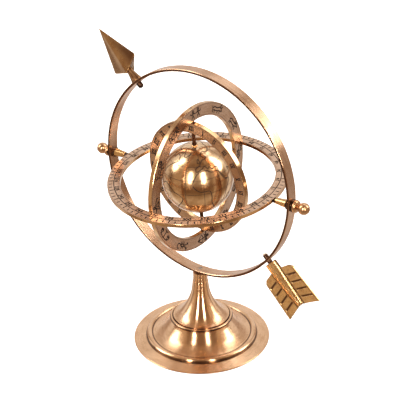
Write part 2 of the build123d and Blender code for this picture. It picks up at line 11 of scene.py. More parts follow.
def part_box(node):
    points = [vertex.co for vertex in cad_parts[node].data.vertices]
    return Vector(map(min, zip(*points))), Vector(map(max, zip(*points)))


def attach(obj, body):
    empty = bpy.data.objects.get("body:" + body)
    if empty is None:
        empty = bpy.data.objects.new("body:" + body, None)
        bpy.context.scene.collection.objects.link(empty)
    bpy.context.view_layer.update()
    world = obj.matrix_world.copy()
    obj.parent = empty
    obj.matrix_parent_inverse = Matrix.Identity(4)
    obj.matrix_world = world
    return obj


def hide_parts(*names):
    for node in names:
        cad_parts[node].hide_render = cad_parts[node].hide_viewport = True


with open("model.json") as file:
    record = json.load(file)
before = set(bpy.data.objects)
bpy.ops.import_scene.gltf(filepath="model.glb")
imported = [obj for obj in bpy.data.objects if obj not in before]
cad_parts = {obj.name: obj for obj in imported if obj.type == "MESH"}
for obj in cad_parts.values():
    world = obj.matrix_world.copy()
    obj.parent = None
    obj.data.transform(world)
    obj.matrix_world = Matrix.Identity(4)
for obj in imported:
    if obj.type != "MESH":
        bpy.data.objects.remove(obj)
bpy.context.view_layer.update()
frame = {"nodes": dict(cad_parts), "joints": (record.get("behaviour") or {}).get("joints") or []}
nodes = frame["nodes"]
joints = {j["name"]: j for j in frame["joints"]}
MM = 0.001

# ---------------------------------------------------------------- places taken from the frame
pivot = Vector(joints["horizon_pivot"]["pos_m"])
transit_dir = Vector(joints["glyph_pivot"]["axis"]).normalized()
pole_dir = Vector(joints["hour_pivot"]["axis"]).normalized()
hoop_low, hoop_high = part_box("meridian_hoop")
hoop_centre = Vector((0, 0, (hoop_low.z + hoop_high.z) / 2))
horizon_normal = Vector((1, 0, 0)).cross(transit_dir).normalized()
stem_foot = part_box("stem")[0].z

# ================================================================ camera
VIEW_AZIMUTH = math.radians(36.35)
VIEW_ELEVATION = math.radians(27.44)
VIEW_ROLL = math.radians(-1.248)
VIEW_DISTANCE = 1.1613
VIEW_AIM = Vector((0.00759, 0.00559, 0.15642))
SENSOR_WIDTH = 36
LENS = 102.75
CLIP_NEAR, CLIP_FAR = 0.05, 30

front = Vector((math.sin(VIEW_AZIMUTH), -math.cos(VIEW_AZIMUTH), 0))
side = Vector((math.cos(VIEW_AZIMUTH), math.sin(VIEW_AZIMUTH), 0))
toward = front * math.cos(VIEW_ELEVATION) + Vector((0, 0, math.sin(VIEW_ELEVATION)))
camera_data = bpy.data.cameras.new("camera")
camera_data.sensor_width = SENSOR_WIDTH
camera_data.lens = LENS
camera_data.clip_start = CLIP_NEAR
camera_data.clip_end = CLIP_FAR
camera = bpy.data.objects.new("camera", camera_data)
bpy.context.scene.collection.objects.link(camera)
look = toward.to_track_quat("Z", "Y")
camera.rotation_mode = "QUATERNION"
camera.rotation_quaternion = look @ Matrix.Rotation(VIEW_ROLL, 4, "Z").to_quaternion()
camera.location = VIEW_AIM + toward * VIEW_DISTANCE
bpy.context.scene.camera = camera


# ================================================================ shader graph helper
class Graph:
    """Short calls for building a node tree."""

    def __init__(self, tree):
        self.tree = tree

    def add(self, kind, **settings):
        node = self.tree.nodes.new(kind)
        for key, value in settings.items():
            setattr(node, key, value)
        return node

    def put(self, socket, value):
        if isinstance(value, bpy.types.NodeSocket):
            self.tree.links.new(value, socket)
        elif value is not None:
            socket.default_value = value

    def math(self, operation, a, b=None):
        node = self.add("ShaderNodeMath", operation=operation)
        for socket, value in zip(node.inputs, (a, b)):
            self.put(socket, value)
        return node.outputs[0]

    def vector(self, operation, a, b=None):
        node = self.add("ShaderNodeVectorMath", operation=operation)
        self.put(node.inputs[0], a)
        self.put(node.inputs[1], b)
        scalar = operation in ("LENGTH", "DOT_PRODUCT")
        return node.outputs["Value" if scalar else "Vector"]

    def join(self, x, y, z):
        node = self.add("ShaderNodeCombineXYZ")
        for socket, value in zip(node.inputs, (x, y, z)):
            self.put(socket, value)
        return node.outputs[0]

    def split(self, vector):
        node = self.add("ShaderNodeSeparateXYZ")
        self.put(node.inputs[0], vector)
        return node.outputs

    def noise(self, vector, scale, detail=3.0, roughness=0.55, distortion=0.0):
        node = self.add("ShaderNodeTexNoise")
        self.put(node.inputs["Vector"], vector)
        node.inputs["Scale"].default_value = scale
        node.inputs["Detail"].default_value = detail
        node.inputs["Roughness"].default_value = roughness
        node.inputs["Distortion"].default_value = distortion
        return node.outputs["Fac"]

    def remap(self, value, low, high, to_low=0.0, to_high=1.0):
        node = self.add("ShaderNodeMapRange", clamp=True, interpolation_type="SMOOTHSTEP")
        for socket, item in zip(node.inputs, (value, low, high, to_low, to_high)):
            self.put(socket, item)
        return node.outputs[0]

    def mix(self, fac, a, b):
        node = self.add("ShaderNodeMix", data_type="RGBA", blend_type="MIX")
        self.put(node.inputs[0], fac)
        self.put(node.inputs[6], a if isinstance(a, bpy.types.NodeSocket) else (*a, 1))
        self.put(node.inputs[7], b if isinstance(b, bpy.types.NodeSocket) else (*b, 1))
        return node.outputs[2]

    def bump(self, height, strength, distance):
        node = self.add("ShaderNodeBump")
        node.inputs["Strength"].default_value = strength
        node.inputs["Distance"].default_value = distance
        self.put(node.inputs["Height"], height)
        return node.outputs[0]


def band(g, value, centre, half, soft):
    """1 where value is within half of centre, fading over soft."""
    away = g.math("ABSOLUTE", g.math("SUBTRACT", value, centre))
    return g.remap(away, half, half + soft, 1.0, 0.0)


TURN_LENGTH = 0.012  # metres of grain for each radian round a turned piece


def grain_coords(g, lay, centre):
    """The plain place, two distances across the brushing, and the place folded along it.

    A turned piece is brushed round its axis, so the two are its radius and height.
    """
    here = g.add("ShaderNodeTexCoord").outputs["Object"]
    local = g.vector("SUBTRACT", here, tuple(centre))
    x, y, z = g.split(local)
    if lay == "upright":
        a, b, h = x, y, z
    elif lay == "across":
        a, b, h = x, z, y
    elif lay == "sideways":
        a, b, h = y, z, x
    else:
        return here, x, y, here
    radius = g.vector("LENGTH", g.join(a, b, 0.0))
    turn = g.math("ARCTAN2", b, a)
    along = g.math("MULTIPLY", turn, TURN_LENGTH)
    return here, radius, h, g.join(radius, h, along)


# ================================================================ metals
BRASS_GOLD = (0.76, 0.49, 0.22)
BRASS_DEEP = (0.44, 0.225, 0.10)
BRASS_TURNED = (0.86, 0.555, 0.335)
BRASS_RING = (0.74, 0.51, 0.355)
BRASS_STRIP = (0.70, 0.455, 0.30)
PATINA = (0.055, 0.022, 0.012)
HOOP_EDGE_SHADE = (0.10, 0.035, 0.014)
CAST_MOTTLE = (0.34, 0.155, 0.055)
CAST_LACQUER_AND_SHADE = (0.085, 0.028, 0.012)
CLOUD_SCALE = 38.0
BLOT_SCALE = 160.0
SPECK_SCALE = 900.0
BRUSH_RELIEF = 0.0002
AROUND_THE_AXIS = 0.25
LACQUER_SPECULAR = 0.15


def metal(name, tint, deep, rough, lay="free", centre=(0, 0, 0), brush=0.12, lines=2600,
          patch=0.35, aniso=0.0, tangent=None, extra=None, specks=0.25):
    """Brass or steel with brushing, uneven colour, fine scratches and tarnish specks."""
    material = bpy.data.materials.new(name)
    material.use_nodes = True
    g = Graph(material.node_tree)
    shader = material.node_tree.nodes["Principled BSDF"]
    here, radius, height, grain = grain_coords(g, lay, centre)
    fine = g.noise(grain, lines, 2.0, 0.6)
    broad = g.noise(grain, lines * 0.22, 3.0, 0.6)
    cloud = g.noise(here, CLOUD_SCALE, 4.0, 0.6)
    speck = g.noise(here, SPECK_SCALE, 3.0, 0.7)
    streak = g.math("ADD", g.math("MULTIPLY", fine, 0.55), g.math("MULTIPLY", broad, 0.45))
    tone = g.math("MULTIPLY", g.remap(cloud, 0.35, 0.68), patch)
    colour = g.mix(tone, tint, deep)
    wide = g.noise(grain, lines * 0.10, 3.0, 0.6)
    colour = g.mix(g.math("MULTIPLY", g.remap(wide, 0.50, 0.66), patch * 0.9), colour, deep)
    scratch = g.math("MULTIPLY", g.remap(streak, 0.48, 0.68), 0.40)
    colour = g.mix(scratch, colour, deep)
    spots = g.math("MULTIPLY", g.remap(speck, 0.68, 0.80), specks)
    colour = g.mix(spots, colour, PATINA)
    level = g.math("ADD", rough - 0.05, g.math("MULTIPLY", streak, 0.10))
    level = g.math("ADD", level, g.math("MULTIPLY", tone, 0.06))
    if extra is not None:
        colour, level = extra(g, colour, level, here, radius, height)
    g.put(shader.inputs["Base Color"], colour)
    g.put(shader.inputs["Roughness"], level)
    shader.inputs["Metallic"].default_value = 1.0
    shader.inputs["Anisotropic"].default_value = aniso
    if tangent:
        turn = g.add("ShaderNodeTangent", direction_type="RADIAL", axis=tangent)
        g.put(shader.inputs["Tangent"], turn.outputs[0])
        shader.inputs["Anisotropic Rotation"].default_value = AROUND_THE_AXIS
    g.put(shader.inputs["Normal"], g.bump(streak, brush, BRUSH_RELIEF))
    return material


BEAD_OUTSIDE, BEAD_INSIDE = 0.0570, 0.0508
BEAD_FOOT, BEAD_TOP = 0.008, 0.0095


def turned_detail(g, colour, level, here, radius, height):
    """Darker lines at both sides of the bead's foot and along the seam under the stem's foot."""
    dark_lines = g.math("MAXIMUM", band(g, radius, BEAD_OUTSIDE, 0.0003, 0.0006),
                  band(g, radius, BEAD_INSIDE, 0.0003, 0.0007))
    low = g.remap(height, BEAD_FOOT, BEAD_TOP, 1.0, 0.0)
    dark_lines = g.math("MULTIPLY", g.math("MULTIPLY", dark_lines, low), 0.75)
    seam = g.math("MULTIPLY", band(g, height, stem_foot - 0.0002, 0.0005, 0.0005), 0.85)
    dark_lines = g.math("MAXIMUM", dark_lines, seam)
    return g.mix(dark_lines, colour, PATINA), level


def strip_detail(g, colour, level, here, radius, height):
    """The hoop's flat edges are painted dark as painted shade, its rolled faces are brushed bright."""
    normal = g.add("ShaderNodeTexCoord").outputs["Normal"]
    facing = g.math("ABSOLUTE", g.split(normal)[1])
    # painted shade: faces whose normals run along Y, the hoop's flat edges, are mixed towards a dark brown
    edge = g.remap(facing, 0.80, 0.93)
    return g.mix(g.math("MULTIPLY", edge, 0.88), colour, HOOP_EDGE_SHADE), level


def cast_detail(g, colour, level, here, radius, height):
    """Dark lacquer where a piece's patina value says, on the arrow head also painted shade, and mottled
    rub-through elsewhere.
    """
    stain = g.add("ShaderNodeAttribute", attribute_name="patina").outputs["Fac"]
    blot = g.noise(here, BLOT_SCALE, 5.0, 0.65)
    mottle = g.math("MULTIPLY", g.remap(blot, 0.46, 0.70), 0.38)
    colour = g.mix(mottle, colour, CAST_MOTTLE)
    level = g.math("ADD", level, g.math("MULTIPLY", stain, 0.2))
    # the stain value is dark lacquer, and on the arrow head also painted shade
    return g.mix(stain, colour, CAST_LACQUER_AND_SHADE), level


turned = metal("brass_turned", BRASS_TURNED, (0.58, 0.31, 0.14), 0.23, "upright", lines=3000,
               aniso=0.95, tangent="Z", extra=turned_detail, specks=0.1)
strip = metal("brass_strip", BRASS_STRIP, BRASS_DEEP, 0.24, "across", hoop_centre, brush=0.20,
              patch=0.45, aniso=0.85, tangent="Y", extra=strip_detail, specks=0.1)
cast = metal("brass_cast", (0.93, 0.63, 0.31), (0.66, 0.38, 0.15), 0.25, brush=0.10, lines=700,
             patch=0.45, extra=cast_detail)
cast_dark = metal("brass_cast_dark", (0.50, 0.30, 0.145), (0.30, 0.145, 0.055), 0.24, brush=0.10,
                  lines=700, patch=0.55, extra=cast_detail)
bright = metal("brass_bright", BRASS_GOLD, BRASS_DEEP, 0.18, "sideways", pivot, brush=0.06,
               lines=1800, patch=0.4)
globe_metal = metal("brass_globe", (0.88, 0.61, 0.37), (0.50, 0.285, 0.13), 0.18, brush=0.03,
                    lines=900, patch=0.75)
copper = metal("brass_finial", (0.66, 0.40, 0.22), (0.42, 0.21, 0.10), 0.27, "sideways", pivot,
               brush=0.08, lines=1800, patch=0.4)
ring_metal = metal("brass_ring_face", BRASS_RING, BRASS_DEEP, 0.24, "upright", brush=0.05,
                   patch=0.3, specks=0.12)
ring_rim = metal("brass_ring_rim", (0.76, 0.50, 0.27), BRASS_DEEP, 0.14, "upright", brush=0.05,
                 patch=0.45, specks=0.12)
ring_patina = metal("ring_patina", (0.030, 0.014, 0.010), (0.015, 0.008, 0.006), 0.6)
globe_patina = metal("globe_patina", (0.035, 0.016, 0.009), (0.03, 0.014, 0.008), 0.5)
dark = metal("dark_bronze", (0.070, 0.034, 0.020), (0.02, 0.012, 0.009), 0.25)
sleeve = metal("brass_sleeve", (0.14, 0.065, 0.035), (0.05, 0.022, 0.014), 0.2, "upright", pivot)
steel = metal("steel", (0.42, 0.31, 0.23), (0.22, 0.16, 0.12), 0.3)
iron = metal("iron", (0.10, 0.09, 0.085), (0.05, 0.045, 0.04), 0.6)

# the lacquer left in the engraving is not a metal
for lacquer in (ring_patina, globe_patina):
    lacquer_shader = lacquer.node_tree.nodes["Principled BSDF"]
    lacquer_shader.inputs["Metallic"].default_value = 0.0
    lacquer_shader.inputs["Specular IOR Level"].default_value = LACQUER_SPECULAR


def felt_material():
    """Dark pressed felt, matt, with fibres and clumps."""
    material = bpy.data.materials.new("felt")
    material.use_nodes = True
    g = Graph(material.node_tree)
    shader = material.node_tree.nodes["Principled BSDF"]
    here = g.add("ShaderNodeTexCoord").outputs["Object"]
    fibre = g.noise(here, 1400.0, 6.0, 0.75, 0.6)
    clump = g.noise(here, 220.0, 4.0, 0.6)
    colour = g.mix(fibre, (0.015, 0.016, 0.015), (0.060, 0.062, 0.055))
    colour = g.mix(g.math("MULTIPLY", clump, 0.3), colour, (0.03, 0.03, 0.028))
    g.put(shader.inputs["Base Color"], colour)
    shader.inputs["Roughness"].default_value = 0.95
    shader.inputs["Sheen Weight"].default_value = 0.4
    g.put(shader.inputs["Normal"], g.bump(fibre, 0.6, 0.0004))
    return material


felt = felt_material()
finish_of = {
    "brass_turned": turned, "brass_cast": cast, "brass_strip": strip, "brass_bright": bright,
    "brass_ring": ring_metal, "brass_globe": globe_metal, "dark_nut": dark, "dark_washer": dark,
    "steel": steel, "brass_sleeve": sleeve, "iron": iron, "felt": felt,
}
for part in nodes.values():
    for holder in part.material_slots:
        slot = holder.material.name.split(".")[0]
        if slot in finish_of:
            holder.material = finish_of[slot]

for name in ("finial_left", "finial_right", "collar_left", "collar_right"):
    for holder in nodes[name].material_slots:
        holder.material = copper

# ================================================================ engraved pieces
FACE_SLOT, PATINA_SLOT, RIM_SLOT = 0, 1, 2
RING_STEPS = 240
BORE_SIDES = 16
BAR_ABOVE = 0.3  # how far a cutting bar stands out of the surface
ENGRAVE_DEPTH = 0.45
EDGE_LINE_WIDE, EDGE_LINE_DEEP = 0.3, 0.25


def object_from(name, vertices, faces, materials, marks=None):
    """A mesh object from vertices in millimetres; marks gives a material index per face."""
    mesh = bpy.data.meshes.new(name)
    mesh.from_pydata([Vector(v) * MM for v in vertices], [], faces)
    for material in materials:
        mesh.materials.append(material)
    if marks is not None:
        mesh.polygons.foreach_set("material_index", marks)
    made = bpy.data.objects.new(name, mesh)
    bpy.context.scene.collection.objects.link(made)
    return made


def revolved(name, profile, steps, materials):
    """A closed profile of (radius, height) turned about Z."""
    count = len(profile)
    vertices, faces = [], []
    for i in range(steps):
        a = 2 * math.pi * i / steps
        vertices += [(r * math.cos(a), r * math.sin(a), h) for r, h in profile]
        j = (i + 1) % steps
        for k in range(count):
            m = (k + 1) % count
            faces.append((i * count + m, j * count + m, j * count + k, i * count + k))
    return object_from(name, vertices, faces, materials)


class Cutter:
    """Collects closed bars and ribbons that are later cut out of a piece."""

    def __init__(self):
        self.vertices, self.faces = [], []

    def ribbon(self, rails, closed):
        """rails is a list of four-corner sections, each in the same turning order."""
        base = len(self.vertices)
        count = len(rails)
        for section in rails:
            self.vertices += section
        for i in range(count if closed else count - 1):
            a, b = base + 4 * i, base + 4 * ((i + 1) % count)
            for k in range(4):
                m = (k + 1) % 4
                self.faces.append((a + k, a + m, b + m, b + k))
        if not closed:
            end = base + 4 * (count - 1)
            self.faces.append((base + 3, base + 2, base + 1, base))
            self.faces.append((end, end + 1, end + 2, end + 3))

    def stroke(self, points, normals, width, depth, closed=False):
        """A bar of the given width along points, from above the surface to depth below it."""
        count = len(points)
        rails = []
        for i, (p, n) in enumerate(zip(points, normals)):
            q = points[(i + 1) % count] if closed or i + 1 < count else p
            o = points[i - 1] if closed or i > 0 else p
            t = (q - o).normalized()
            s = t.cross(n).normalized() * (width / 2)
            rails.append([p - s + n * BAR_ABOVE, p + s + n * BAR_ABOVE, p + s - n * depth,
                          p - s - n * depth])
        self.ribbon(rails, closed)

    def cut(self, target, patina, overlapping=False):
        """Cuts the collected bars out of target; the cut faces take the patina slot."""
        tool = object_from("cutter", self.vertices, self.faces, [patina, patina],
                           [PATINA_SLOT] * len(self.faces))
        fix = bmesh.new()
        fix.from_mesh(tool.data)
        bmesh.ops.recalc_face_normals(fix, faces=fix.faces)
        fix.to_mesh(tool.data)
        fix.free()
        cut = target.modifiers.new("cut", "BOOLEAN")
        cut.operation = "DIFFERENCE"
        cut.solver = "EXACT"
        cut.use_self = overlapping
        cut.object = tool
        graph = bpy.context.evaluated_depsgraph_get()
        result = bpy.data.meshes.new_from_object(target.evaluated_get(graph))
        target.modifiers.clear()
        target.data = result
        bpy.data.objects.remove(tool)


def smooth_points(points, steps=4, closed=False):
    """Catmull-Rom points through the given ones."""
    count = len(points)
    if count < 3:
        return [Vector(p) for p in points]
    at = (lambda i: points[i % count]) if closed else (
        lambda i: points[max(0, min(count - 1, i))])
    out = []
    for i in range(count if closed else count - 1):
        p0, p1, p2, p3 = (Vector(at(i + k)) for k in (-1, 0, 1, 2))
        for s in range(steps):
            t = s / steps
            out.append(0.5 * (2 * p1 + (p2 - p0) * t + (2 * p0 - 5 * p1 + 4 * p2 - p3) * t * t
                              + (3 * p1 - p0 - 3 * p2 + p3) * t * t * t))
    if not closed:
        out.append(Vector(points[-1]))
    return out


def true_normals(target, rule, rim=0):
    """Shades uncut faces with exact normals, cuts as flat facets; rim is the rims' slot."""
    mesh = target.data
    mesh.polygons.foreach_set("use_smooth", [True] * len(mesh.polygons))
    normals = [None] * len(mesh.loops)
    for face in mesh.polygons:
        if rim and face.material_index == FACE_SLOT and abs(face.normal.z) < 0.9:
            face.material_index = rim
        for k in face.loop_indices:
            if face.material_index == PATINA_SLOT:
                normals[k] = face.normal
            else:
                normals[k] = rule(face, mesh.vertices[mesh.loops[k].vertex_index].co)
    mesh.normals_split_custom_set(normals)


def ring_rule(face, at):
    """Exact normal of a flat ring's face, chamfer or rim."""
    up, out = face.normal.z, face.normal.to_2d().length
    if abs(up) > 0.97:
        return Vector((0, 0, math.copysign(1, up)))
    radial = Vector((at.x, at.y, 0)).normalized()
    sign = math.copysign(1, face.normal.dot(radial))
    return (radial * sign * out + Vector((0, 0, up))).normalized()


def ring_profile(outer, inner, thick, edge):
    """Section of a flat ring with two-step softened edges."""
    h = thick / 2
    e = edge
    f = edge * 0.3
    corner = [(outer - e, h), (outer - f, h - f), (outer, h - e)]
    inside = [(inner, h - e), (inner + f, h - f), (inner + e, h)]
    low = [(r, -z) for r, z in reversed(corner)] + [(r, -z) for r, z in reversed(inside)]
    return inside + corner + low


def on_ring(angle, radius, x, y, level, inward=False):
    """Point of a figure drawn at an angle on a ring's face; level is along the normal."""
    out = Vector((math.cos(angle), math.sin(angle), 0))
    around = Vector((-out.y, out.x, 0))
    flip = -1 if inward else 1
    return out * (radius + y * flip) - around * (x * flip) + Vector((0, 0, level))


def figure(cutter, strokes, angle, radius, level, width, depth, inward=False, back=False):
    """Cuts a flat figure's strokes into a ring's face; back uses the other face."""
    normal = Vector((0, 0, 1))
    for points in strokes:
        loop = len(points) > 3 and points[0] == points[-1]
        line = smooth_points(points[:-1] if loop else points, 3, loop)
        placed = [on_ring(angle, radius, p[0], p[1], level, inward) for p in line]
        normals = [normal] * len(placed)
        if back:
            placed = [Vector((p.x, -p.y, -p.z)) for p in placed]
            normals = [-normal] * len(placed)
        cutter.stroke(placed, normals, width, depth, loop)


def circle_cut(cutter, radius, level, width, depth, back=False):
    """A circular groove about a ring's centre; back uses the other face."""
    sign = -1 if back else 1
    placed = [Vector((radius * math.cos(a), radius * math.sin(a), level * sign))
              for a in (2 * math.pi * i / RING_STEPS for i in range(RING_STEPS))]
    cutter.stroke(placed, [Vector((0, 0, sign))] * RING_STEPS, width, depth, True)


def edge_circles(target, radii, level):
    """Cuts fine circles near a ring's edges, on both faces."""
    lines = Cutter()
    for back in (False, True):
        for r in radii:
            circle_cut(lines, r, level, EDGE_LINE_WIDE, EDGE_LINE_DEEP, back)
    lines.cut(target, ring_patina)


def drill(target, holes, end):
    """Cuts radial holes, each (angle in degrees, radius, start), through a ring's rim."""
    bores = Cutter()
    for degrees, radius, start in holes:
        bore(bores, math.radians(degrees), radius, start, end)
    bores.cut(target, ring_patina)


# generic digits on a 1 x 1.6 field
DIGITS = {
    "0": [[(0, .8), (.2, 1.45), (.5, 1.6), (.8, 1.45), (1, .8), (.8, .15), (.5, 0), (.2, .15),
           (0, .8)]],
    "1": [[(.2, 1.2), (.55, 1.6)], [(.55, 1.6), (.55, 0)]],
    "2": [[(.05, 1.25), (.45, 1.6), (.95, 1.2), (.6, .7), (.05, .02)], [(.05, 0), (1, 0)]],
    "3": [[(.05, 1.45), (.5, 1.6), (.9, 1.25), (.45, .85)],
          [(.45, .85), (1, .5), (.5, 0), (.02, .2)]],
    "4": [[(.7, 1.6), (0, .5)], [(0, .5), (1, .5)], [(.72, 1.6), (.72, 0)]],
    "5": [[(.9, 1.6), (.15, 1.6)], [(.15, 1.6), (.1, .9)],
          [(.1, .9), (.6, 1), (.98, .5), (.5, 0), (.02, .15)]],
    "6": [[(.8, 1.55), (.3, 1.3), (.03, .6), (.5, 0), (.98, .45), (.55, .9), (.08, .6)]],
    "7": [[(.02, 1.6), (1, 1.6)], [(1, 1.6), (.35, 0)]],
    "8": [[(.5, .85), (.1, 1.2), (.5, 1.6), (.9, 1.2), (.5, .85)],
          [(.5, .85), (0, .4), (.5, 0), (1, .4), (.5, .85)]],
    "9": [[(.92, 1.05), (.5, .72), (.03, 1.15), (.5, 1.6), (.97, 1.1), (.75, .4), (.3, .02)]],
}
NUMERALS = ("XII", "I", "II", "III", "IV", "V", "VI", "VII", "VIII", "IX", "X", "XI")
NUMERAL_WIDTH = {"I": 1.7, "V": 3.2, "X": 3.3}

# twelve plain line drawings on a field of about 13 x 7 mm
DRAWINGS = (
    # ram
    ([(-5.2, -.4), (-3.4, 1.3), (-.4, 1.2), (2.4, 1.5), (3.6, 2.6), (5.2, 2.4), (6.2, 1), (4.4, .8),
      (3, -.8)], [(4, 2.9), (2.6, 3.4), (1.9, 2.2), (3, 1.5), (3.8, 2.2)],
     [(-4.8, -.4), (-4.2, -1.8), (-5, -3.3)], [(-3.4, -.9), (-.2, -1.2), (2.8, -.9)],
     [(-3.2, -1), (-3, -3.3)], [(1.6, -1.1), (2.2, -3.3)], [(3, -.9), (4.4, -2), (4, -3.1)]),
    # bull
    ([(-5.6, 1.8), (-5, .2), (-3, 1.4), (0, 1), (3, 1.9), (4.6, .8), (5.8, -.8), (4.4, -1), (3, -.6)],
     [(3.2, 2), (3.8, 3.2), (5.2, 3.2)], [(4.4, 1.4), (5.6, 1.8), (6.4, 2.9)],
     [(-4.8, 0), (-5, -1.8), (-4.2, -3.4)], [(-4, -1), (0, -1.4), (3, -.6)],
     [(-3, -1.2), (-2.4, -3.3)], [(1.2, -1.2), (.6, -3.3)], [(2.8, -.8), (3.4, -3.3)]),
    # twins
    ([(-3.4, 2.2), (-2.6, 3.4), (-1.8, 2.2), (-2.6, 1.6), (-3.4, 2.2)],
     [(3.4, 2.2), (2.6, 3.4), (1.8, 2.2), (2.6, 1.6), (3.4, 2.2)],
     [(-2.6, 1.5), (-2.9, -.6), (-4.2, -3.4)], [(-2.8, -.6), (-1.6, -3.4)],
     [(2.6, 1.5), (2.9, -.6), (4.2, -3.4)], [(2.8, -.6), (1.6, -3.4)],
     [(-2.6, .8), (0, .2), (2.6, .8)], [(-2.6, .9), (-4.6, .2), (-5.4, 1.6)],
     [(2.6, .9), (4.6, .2), (5.4, 1.6)]),
    # crab
    ([(-2.8, 0), (-1.6, 1.7), (1.6, 1.7), (2.8, 0), (1.4, -1.6), (-1.4, -1.6), (-2.8, 0)],
     [(-2, 1.3), (-4, 2.2), (-5.4, 1.6), (-4.6, 3.2), (-3.6, 3.4)],
     [(2, 1.3), (4, 2.2), (5.4, 1.6), (4.6, 3.2), (3.6, 3.4)],
     [(-2.8, .2), (-4.4, .4), (-5.8, -.8)], [(-2.4, -.8), (-4, -1.2), (-4.8, -2.6)],
     [(2.8, .2), (4.4, .4), (5.8, -.8)], [(2.4, -.8), (4, -1.2), (4.8, -2.6)],
     [(-1, -1.5), (-2.2, -3.3)], [(1, -1.5), (2.2, -3.3)], [(-.8, .3), (.8, .3)]),
    # lion
    ([(-5, -.2), (-3, 1), (.4, .8), (2, .4)], [(-5, -.2), (-6.2, 1.4), (-5.2, 3), (-4.2, 2.4)],
     [(2, .6), (2.2, 2.6), (4, 3.4), (5.6, 2.2), (5.4, .4), (3.8, -.6), (2, .6)],
     [(3.4, 1), (4, 2), (5, 1.6), (4.6, .6), (3.4, 1)],
     [(-4.8, -.4), (-4.4, -2), (-5.4, -3.3)], [(-3.6, -1.1), (0, -1.4), (2.6, -1)],
     [(-3.2, -1.2), (-2.4, -3.3)], [(1.2, -1.2), (1.4, -3.2), (2.6, -3.3)],
     [(3, -.9), (4, -2.2), (5.6, -2.4)]),
    # maiden
    ([(-.8, 2.6), (0, 3.5), (.8, 2.6), (0, 1.9), (-.8, 2.6)], [(0, 1.8), (-1, .4), (-2.8, -3.2)],
     [(0, 1.8), (1, .4), (2.8, -3.2)], [(-2.8, -3.2), (0, -2.8), (2.8, -3.2)],
     [(-.6, 1), (-2.8, .2), (-4.6, 1.4)], [(.6, 1), (2.8, .4), (4.6, -.6)],
     [(-4.6, -.2), (-4.6, 1.4), (-4.4, 3.2)], [(-5.6, 2.2), (-4.6, 1.6), (-3.6, 2.4)],
     [(-.4, -2.7), (0, .2)], [(4.6, -.6), (5.6, -1.6), (4.8, -2.6)]),
    # scales
    ([(0, 3.4), (0, -2.6)], [(-4.6, 2.3), (0, 2.9), (4.6, 2.3)], [(-4.6, 2.3), (-5.9, -.6)],
     [(-4.6, 2.3), (-3.3, -.6)], [(4.6, 2.3), (5.9, -.6)], [(4.6, 2.3), (3.3, -.6)],
     [(-6, -.7), (-4.6, -1.7), (-3.2, -.7), (-6, -.7)], [(6, -.7), (4.6, -1.7), (3.2, -.7), (6, -.7)],
     [(-2, -3.2), (0, -2.5), (2, -3.2)]),
    # scorpion
    ([(-2, .6), (0, 1.3), (1.8, .4), (0, -.8), (-2, .6)],
     [(1.8, .3), (3.4, -1), (5.2, -.6), (5.8, 1.2), (4.6, 2.8), (3.4, 2.4)],
     [(-1.8, .9), (-3.6, 1.6), (-5.4, 2.8), (-4.2, 3.2)], [(-5.2, 2.8), (-5.8, 1.8)],
     [(-1.8, 0), (-3.8, -.4), (-5.6, -1.8), (-4.4, -2)], [(-5.5, -1.7), (-6.1, -.7)],
     [(-.8, -.4), (-1.8, -2.8)], [(.4, -.6), (.2, -3)], [(1.2, -.2), (2.2, -2.6)],
     [(-.6, 1.2), (-1, 3)], [(.7, 1.1), (1.2, 3)]),
    # archer
    ([(1.6, 3.4), (4, 2), (4.8, 0), (4, -2), (1.6, -3.4)], [(1.6, 3.4), (.4, 0), (1.6, -3.4)],
     [(-5.6, 0), (6.2, 0)], [(5, 1), (6.2, 0)], [(5, -1), (6.2, 0)], [(-5.8, 1.2), (-4.6, 0)],
     [(-5.8, -1.2), (-4.6, 0)], [(-4.6, 1.2), (-3.4, 0)], [(-4.6, -1.2), (-3.4, 0)],
     [(-2.6, 2.4), (-1.8, 3.2), (-1, 2.4), (-1.8, 1.7), (-2.6, 2.4)], [(-1.8, 1.6), (-1.6, -1), (-3, -3.3)],
     [(-1.6, -1), (-.4, -3.3)]),
    # goat with a fish's tail
    ([(4.6, 2), (3.2, 2.2), (1.8, 1.2), (-1, 1.2), (-3, 0), (-4.4, 1.6), (-5.8, 2.6)],
     [(-5.9, .6), (-4.4, 1.5), (-4.6, 3.2)], [(4.6, 2), (5.6, 1), (4.4, .4), (3, -.6)],
     [(3.6, 2.3), (3, 3.4), (1.6, 3.3)], [(3, -.6), (.4, -1.2), (-2.4, -1.4), (-3.6, -.6)],
     [(2.8, -.8), (4.4, -1.6), (4, -3)], [(1.6, -1), (2.6, -2.2), (1.8, -3.3)],
     [(-.6, 1), (-.2, -1)], [(-2, .5), (-1.8, -1.2)]),
    # water jar
    ([(-4.8, 2.6), (-3.2, 3.2), (-1.8, 1.8)],
     [(-5.4, 1.4), (-5.6, -.8), (-3.6, -1.6), (-2, -.2), (-1.8, 1.8)],
     [(-4.8, 2.6), (-5.4, 1.4)], [(-1.6, 1.4), (.4, 2.2), (1.6, 1.2), (3, 1.6), (5.8, .6)],
     [(-1.6, .6), (.2, 1), (1.6, 0), (3.2, .4), (5.8, -.8)],
     [(-1.8, -.4), (0, -.4), (1.6, -1.4), (3.2, -1), (5.6, -2.2)], [(-5, -1.6), (-3.6, -3.2), (-2, -3.2)],
     [(-.6, -2), (1, -3), (3, -2.8), (4.6, -3.4)]),
    # fishes
    ([(-5.8, 2.2), (-3.2, 3.3), (-.6, 2), (-3.2, 1), (-5.8, 2.2)], [(-.6, 2), (.6, 3), (.6, 1.1), (-.6, 2)],
     [(5.8, -2), (3.2, -1), (.6, -2.2), (3.2, -3.3), (5.8, -2)],
     [(.6, -2.2), (-.6, -1.2), (-.6, -3.1), (.6, -2.2)],
     [(-4.6, 1.4), (-3.6, -.6), (0, -.4), (3.4, .4), (4.6, -1.2)], [(-4.4, 2.4), (-4.2, 2.4)],
     [(4.4, -2.2), (4.2, -2.2)], [(-2.8, 1.4), (-2.4, 2.7)], [(2.8, -1.4), (2.4, -2.9)]),
)

